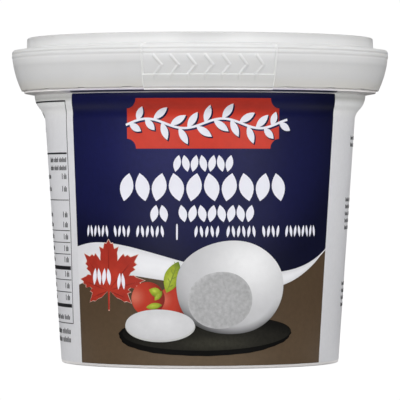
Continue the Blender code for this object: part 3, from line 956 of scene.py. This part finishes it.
def make_serving():
    """The printed serving: a whole ball with a cut side and a slice on a slate, tomatoes and basil."""
    dark = printed_film("dark_gravure_ink", "#050504", mottle=0.3, patch=0.8, gloss=0.1)
    slate = printed_film("slate_gravure_ink", "#201F1A", "#35342C", "#0E0D0B", (0.1, -0.6), 1.3, 0.25, 0.8,
                         gloss=0.12)
    ball = printed_film("ball_gravure_ink", "#C8C8CA", "#F3F3F4", "#8E8E90", (0.35, 0.5), 1.75, 0.03, 2.0,
                        0.63, 0.75)
    cut = printed_film("cut_gravure_ink", "#AEAEAF", "#B2B2B3", "#C0C0C1", (0.05, -0.05), 1.12, 0.2, 0.9,
                       0.78)
    slice_top = printed_film("slice_gravure_ink", "#D4D4D6", "#DEDEE0", "#C6C6C8", (0.1, 0.2), 1.4, 0.04)
    slice_side = printed_film("slice_side_gravure_ink", "#C4C4C2", mottle=0.05)
    tomato = printed_film("tomato_gravure_ink", "#B8341F", "#CD6A55", "#7C1A10", (-0.8, 0.1), 1.9, 0.06,
                          2.0, 0.42)
    basil = printed_film("basil_gravure_ink", "#98A728", "#B8C548", "#57741C", (-0.2, 0.2), 1.3, 0.2, 1.0)
    rib = printed_film("basil_rib_gravure_ink", "#7C9030", mottle=0.1)

    angle = np.linspace(0, 2 * pi, 144, endpoint=False)
    rough = 1 + 0.008 * np.sin(5 * angle + 1) + 0.006 * np.sin(11 * angle) + 0.005 * np.sin(29 * angle + 2)
    rim = oval(22.5, 5.0, 2.0, 144) * rough[:, None]
    printed("slate_edge", [star(rim, (1.4, 8.2), 0.015, 10)], dark, 2)
    printed("slate", [star(oval(21.9, 4.2, 2.0, 144), (2.0, 8.75), 0.015, 10)], slate, 3)
    printed("far_tomato", [star(oval(3.9, 3.8), (-6.2, 16.6), 0, 6)], tomato, 3)
    printed("near_tomato", [star(oval(4.35, 4.1), (-12.95, 17.1), 0, 6)], tomato, 4)
    printed("basil", [
        star(leaf(8.2, 4.0, 24), BASIL, BASIL_TURN, 5), star(leaf(3.6, 2.2), (-10.9, 18.7), -0.35, 3),
        star(leaf(3.0, 1.5), (-10.2, 17.9), 0.9, 3), star(leaf(4.2, 1.6), (-11.3, 15.3), 0.15, 3),
    ], basil, 5)
    ribs = [star(leaf(7.6, 0.3), BASIL, BASIL_TURN, 2)]
    for k in range(6):
        along = heading(BASIL_TURN) * (1.05 * k - 2.6)
        turn = BASIL_TURN + (0.75 if k % 2 else -0.75)
        ribs.append(star(leaf(1.5, 0.2), BASIL + along + 0.75 * heading(turn), turn, 2))
    printed("basil_ribs", ribs, rib, 6)
    angle = np.linspace(0, 2 * pi, 96, endpoint=False)
    uneven = 1 + 0.01 * np.sin(5 * angle + 0.6) - 0.035 * np.clip(np.cos(angle + 0.95), 0, 1) ** 8
    printed("ball", [star(oval(13.6, 11.4, 2.12, 96) * uneven[:, None], (7.8, 19.8), 0, 16)], ball, 6)
    printed("ball_cut", [star(oval(7.9, 6.9, 2.1, 64), (5.0, 16.8), 0.1, 10)], cut, 7)
    printed("slice_side", [star(oval(8.95, 3.8, 2.0, 64), (-10.1, 10.35), 0, 8)], slice_side, 6)
    printed("slice_top", [star(oval(8.8, 3.75, 2.0, 64), (-10.1, 10.75), 0, 8)], slice_top, 7)


# ---------------------------------------------------------------- small print

TABLE_LEFT = -70.0
TABLE_FOOT = 10.2
TABLE_HEAD = 65.5
RULE = 0.22              # thickness of the table's outer rules
# Its inner rules, each a height and a thickness, and the heights of its rows.
INNER_RULES = [(52.6, 0.42), (41.0, 0.2), (33.4, 0.2), (30.45, 0.2), (27.55, 0.2), (24.1, 0.95),
               (21.15, 0.2), (18.1, 0.2), (14.7, 0.9)]
TABLE_ROWS = [46.9, 43.8, 37.4, 34.9, 31.9, 29.0, 26.2, 22.6, 19.7, 16.75]
# Small print: left, right, half height, places, the places left out, and the heights of the rows' middles.
SMALL_PRINT = [
    (-42.6, -39.9, 0.7, 5, (1,), TABLE_ROWS),
    (-68.8, -52.0, 0.6, 24, (5, 9, 15, 20), TABLE_ROWS),
    (-51.5, -39.8, 0.6, 22, (6, 13), [51.0, 49.0]),
    (-68.5, -60.5, 1.1, 8, (4,), [62.5]),
    (-68.5, -58.5, 0.7, 13, (4, 9), [58.6]),
    (-60.0, -40.2, 0.6, 26, (7, 14, 20), [11.8]),
    (-64.0, -40.0, 0.7, 30, (6, 12, 21), [8.3, 6.2]),
    (51.5, 74.0, 0.5, 32, (5, 12, 17, 25), [56.6, 54.85]),
    (49.0, 74.0, 0.5, 32, (5, 12, 17, 25), [41.1, 39.35, 37.6, 35.85, 34.1, 20.0, 18.25, 16.5, 14.75]),
]


def row_of_strokes(left, right, half, count, gaps, middle):
    """A row of thin upright strokes of two heights in turn, as fine print looks from afar."""
    step = (right - left) / count
    return [box_shape(left + (k + 0.22) * step, left + (k + 0.78) * step, middle - half,
                      middle + (half / 2 if k % 3 else half))
            for k in range(count) if k not in gaps]


def table_right(v):
    """The table's right edge, which bends with the shoulder."""
    return np.interp(v, [34, 45, 57, 61, 65.3], [-38.3, -38.7, -39.1, -39.15, -38.4])


def make_side_print():
    """The small print: on the left a ruled table with rows of strokes, on the right columns of them."""
    black = printed_film("black_gravure_ink", "#17171B", mottle=0.04)
    left, low, high = TABLE_LEFT, TABLE_FOOT, TABLE_HEAD
    inner_low, inner_high = low + RULE + 0.01, high - RULE - 0.01
    lines = [
        box_shape(left, table_right(high), high - RULE, high + 0.12),
        box_shape(left, table_right(low), low, low + RULE),
        box_shape(left, left + RULE, inner_low, inner_high),
        span(lambda v: table_right(v) - RULE, table_right, flat(inner_low), flat(inner_high), 1, 60),
    ]
    for height, thick in INNER_RULES:
        lines.append(box_shape(left + 0.7, table_right(height) - 0.6, height - thick / 2,
                               height + thick / 2))
    for *row, middles in SMALL_PRINT:
        for middle in middles:
            lines += row_of_strokes(*row, middle)
    printed("small_print", lines, black, 1, turns=(0.0,))


# ---------------------------------------------------------------- stage

SKY = 0.15               # strength of the sky that lights the tub
MIRRORED = 0.15          # strength of the sky that the tub mirrors
BURNT_OUT = 1.02         # strength of the floor and backdrop as the camera sees them
OVERHEAD = 1.54          # strength of the light overhead
PAPER = 0.22             # tone of the floor as it lights the tub
# Boxes of light a metre from the tub: turn from the front towards +X in degrees, height, width and height
# of the box in metres, and watts.
BOXES = [
    ("soft_box", -22, 0.3, 0.3, 0.5, 1.25), ("soft_box", 28, 0.3, 0.3, 0.5, 1.6),
    ("low_box", -35, 0.19, 0.7, 0.26, 1.75), ("low_box", 38, 0.19, 0.7, 0.26, 1.7),
    ("side_box", -78, 0.35, 1.3, 0.5, 6.15), ("side_box", 78, 0.35, 1.3, 0.5, 4.85),
    ("back_box", 180, 1.1, 0.9, 0.5, 1.4), ("low_fill", -4, 0.05, 0.8, 0.08, 0.55),
]
FLOOR_REACH = 30.0
FLOOR_Z = -0.02 * MM     # just clear of the foot
CAMERA_PLACE = (0, -0.8461, 0.0462)
CAMERA_TARGET = (0, 0, 0.0409)
FOCAL_LENGTH = 300.5
SENSOR_WIDTH = 36.0


def aim(data, place, target):
    """Puts a light or a camera in the scene, facing a target."""
    made = into_scene(data)
    made.location = place
    made.rotation_euler = (Vector(target) - Vector(place)).to_track_quat("-Z", "Y").to_euler()
    return made


def matt_white_paper():
    """Matt white paper, burnt out to white where the camera sees it. Where the tub mirrors it, it is painted
    bright close to the tub's foot and dim further out: a painted reflection of light round the foot."""
    made, tree, shader = new_material("matt_white_paper")
    shader.inputs["Roughness"].default_value = 0.9
    shader.inputs["Specular IOR Level"].default_value = 0.0
    ray = add(tree, "LightPath")
    where = add(tree, "TexCoord").outputs["Object"]
    away = add(tree, "VectorMath", {"operation": "LENGTH"}, in0=where)
    near = add(tree, "MapRange", Value=away.outputs["Value"], From_Min=45 * MM, From_Max=120 * MM,
               To_Min=0.6, To_Max=0.03)
    shade = add(tree, "Mix", Factor=ray.outputs["Is Glossy Ray"], in2=PAPER, in3=near)
    tone = add(tree, "CombineColor", Red=shade, Green=shade, Blue=shade)
    tree.links.new(tone.outputs[0], shader.inputs["Base Color"])
    white = add(tree, "Emission", Strength=BURNT_OUT)
    seen = add(tree, "MixShader", Fac=ray.outputs["Is Camera Ray"], in1=shader, in2=white)
    tree.links.new(seen.outputs[0], tree.nodes["Material Output"].inputs["Surface"])
    return made


def studio():
    """A pale floor and backdrop round a tub that is lit softly from above, from both sides and, low down,
    from in front."""
    world = bpy.data.worlds.new("studio")
    bpy.context.scene.world = world
    world.use_nodes = True
    tree = world.node_tree
    tree.nodes.clear()
    ray = add(tree, "LightPath")
    sky, mirrored, behind = (add(tree, "Background", Color=(1, 1, 1, 1), Strength=strength)
                             for strength in (SKY, MIRRORED, BURNT_OUT))
    some = add(tree, "MixShader", Fac=ray.outputs["Is Glossy Ray"], in1=sky, in2=mirrored)
    both = add(tree, "MixShader", Fac=ray.outputs["Is Camera Ray"], in1=some, in2=behind)
    add(tree, "OutputWorld", Surface=both)

    mesh = bpy.data.meshes.new("floor")
    corners = [(x * FLOOR_REACH, y * FLOOR_REACH, FLOOR_Z) for x, y in ((-1, -1), (1, -1), (1, 1), (-1, 1))]
    mesh.from_pydata(corners, [], [(0, 1, 2, 3)])
    mesh.materials.append(matt_white_paper())
    into_scene(mesh)

    sun = bpy.data.lights.new("overhead_light", "SUN")
    sun.energy = OVERHEAD
    sun.angle = radians(60)
    aim(sun, (0, 0.0, 1.6), (0, 0, 0.04))
    for name, turn, height, wide, tall, power in BOXES:
        box = bpy.data.lights.new(name, "AREA")
        box.shape = "RECTANGLE"
        box.size = wide
        box.size_y = tall
        box.energy = power
        lamp = aim(box, (sin(radians(turn)), -cos(radians(turn)), height), (0, 0, 0.06))
        lamp.visible_glossy = name != "side_box"     # the tub doesn't mirror the side boxes


def camera():
    """A long lens, level with the middle of the tub and aimed a little below its own height."""
    lens = bpy.data.cameras.new("camera")
    lens.lens = FOCAL_LENGTH
    lens.sensor_width = SENSOR_WIDTH
    lens.clip_start = 0.05
    lens.clip_end = 100
    bpy.context.scene.camera = aim(lens, CAMERA_PLACE, CAMERA_TARGET)
    bpy.context.scene.view_settings.view_transform = "Standard"


# ---------------------------------------------------------------- the tub, piece by piece

camera()
studio()
make_tub(tub_polypropylene())
make_lid(lid_polypropylene("lid_polypropylene", LID_TONES))
make_tab(lid_polypropylene("tab_polypropylene", TAB_TONES))
make_ribs(lid_polypropylene("rib_polypropylene", RIB_TONES, 0.0))
make_film()
make_panel()
make_serving()
make_side_print()
